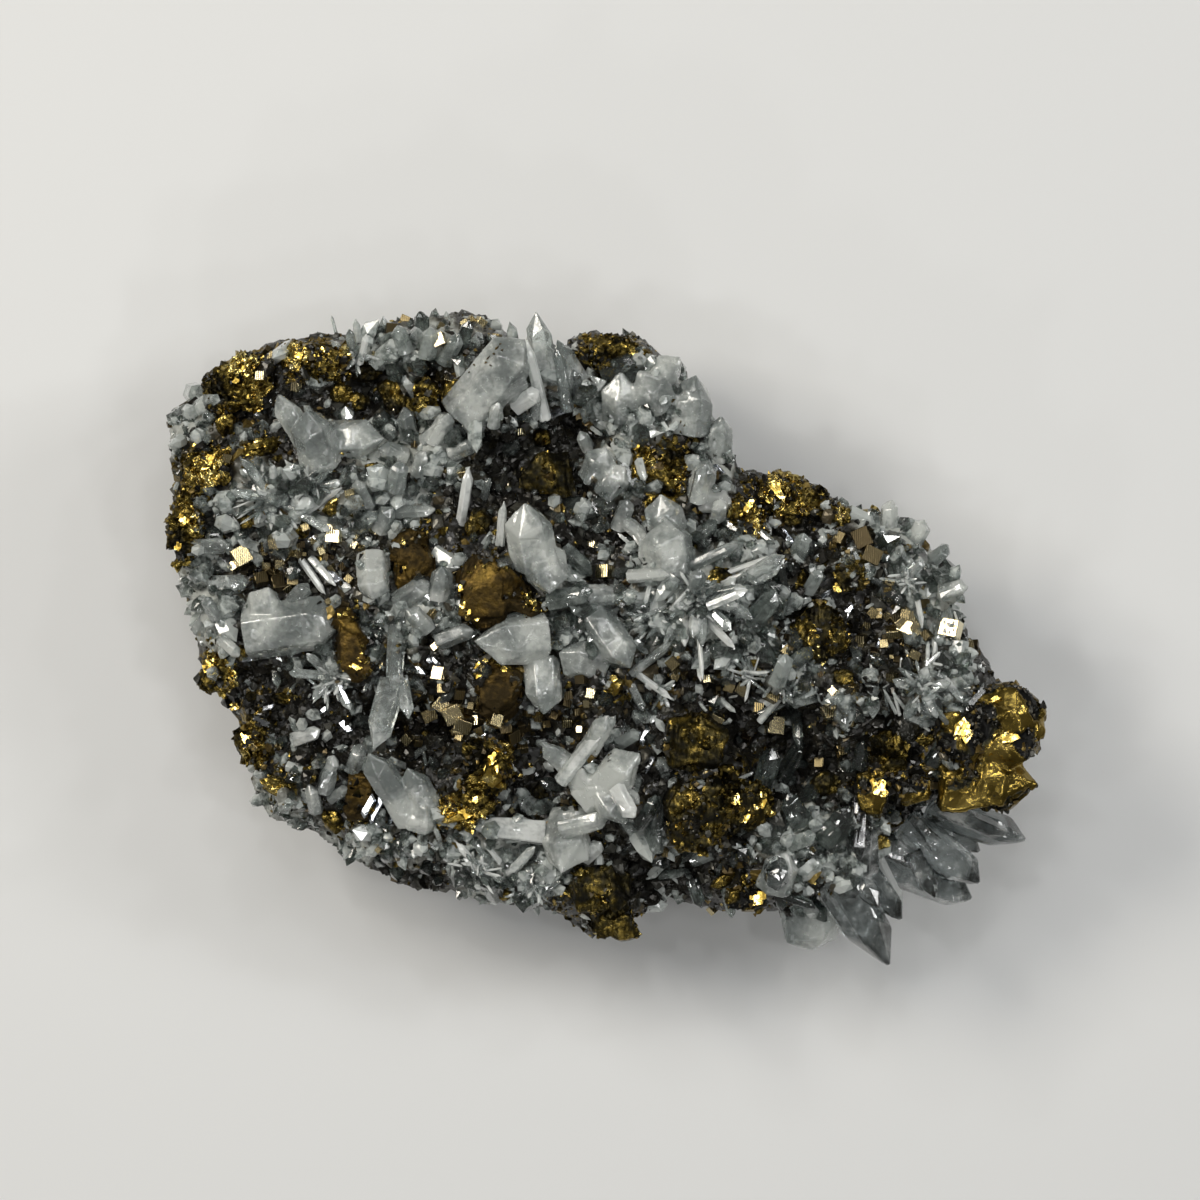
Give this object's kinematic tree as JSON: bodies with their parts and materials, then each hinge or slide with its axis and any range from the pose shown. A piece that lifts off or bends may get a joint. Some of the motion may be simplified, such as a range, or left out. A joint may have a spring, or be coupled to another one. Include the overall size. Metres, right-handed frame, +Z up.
{
  "type": "chalcopyrite specimen with quartz and pyrite",
  "caption": "Lumpy plate of vein rock with a bed of quartz points, brassy chalcopyrite masses and small pyrite cubes, lying flat on its sawn back.",
  "frame": {"origin": "middle of the part's box, on the sawn base", "axes": "+X along the specimen's length, towards the end with the large chalcopyrite mass; +Y across it, towards the side with the iron-stained quartz crown; +Z up, out of the crystal bed"},
  "size_m": [0.1104, 0.0834, 0.0349],
  "materials": {
    "rock": "broken vein rock with a druse of small quartz and dark sulphide grains",
    "quartz": "milky at the root, clear at the tip, vitreous crystal faces",
    "chalcopyrite": "brass-yellow metallic lustre, partly tarnished to olive and amber",
    "pyrite": "pale brass metallic lustre, flat striated cube faces"
  },
  "bodies": {
    "root": {"chalcopyrite_amber_centre": "chalcopyrite", "chalcopyrite_amber_southwest": "chalcopyrite", "chalcopyrite_amber_west": "chalcopyrite", "chalcopyrite_block_north": "chalcopyrite", "chalcopyrite_block_south": "chalcopyrite", "chalcopyrite_brown_north": "chalcopyrite", "chalcopyrite_crest_northwest": "chalcopyrite", "chalcopyrite_dome_east": "chalcopyrite", "chalcopyrite_east": "chalcopyrite", "chalcopyrite_edge_south": "chalcopyrite", "chalcopyrite_foot_south": "chalcopyrite", "chalcopyrite_knob_centre": "chalcopyrite", "chalcopyrite_lower_southwest": "chalcopyrite", "chalcopyrite_mass_south": "chalcopyrite", "chalcopyrite_olive_south": "chalcopyrite", "chalcopyrite_patch_north": "chalcopyrite", "chalcopyrite_ridge_east": "chalcopyrite", "chalcopyrite_rim_north": "chalcopyrite", "chalcopyrite_rim_northeast": "chalcopyrite", "chalcopyrite_rim_northwest": "chalcopyrite", "chalcopyrite_rim_southwest": "chalcopyrite", "chalcopyrite_rim_west": "chalcopyrite", "chalcopyrite_small_east": "chalcopyrite", "chalcopyrite_southeast": "chalcopyrite", "chalcopyrite_sphenoid": "chalcopyrite", "chalcopyrite_stem_west": "chalcopyrite", "chalcopyrite_wedge_east": "chalcopyrite", "pyrite_cubes_centre": "pyrite", "pyrite_cubes_east": "pyrite", "quartz_blades_centre": "quartz", "quartz_block_north": "quartz", "quartz_block_southeast": "quartz", "quartz_bundle_east": "quartz", "quartz_chips_northeast": "quartz", "quartz_cluster_northeast": "quartz", "quartz_crown": "quartz", "quartz_fan_north": "quartz", "quartz_fang_southeast": "quartz", "quartz_foot_southeast": "quartz", "quartz_knob_south": "quartz", "quartz_log_west": "quartz", "quartz_milky_centre": "quartz", "quartz_pair_centre": "quartz", "quartz_pair_northwest": "quartz", "quartz_prism_far_east": "quartz", "quartz_prism_northeast": "quartz", "quartz_prism_south": "quartz", "quartz_prism_west": "quartz", "quartz_prisms_east_rim": "quartz", "quartz_prisms_southeast_rim": "quartz", "quartz_round_west": "quartz", "quartz_spray_south": "quartz", "quartz_stack_east": "quartz", "quartz_star_east": "quartz", "quartz_star_far_east": "quartz", "quartz_star_southwest": "quartz", "quartz_star_west": "quartz", "quartz_stem_west": "quartz", "quartz_twins_southwest": "quartz", "rock": "rock"}
  },
  "joints": []
}
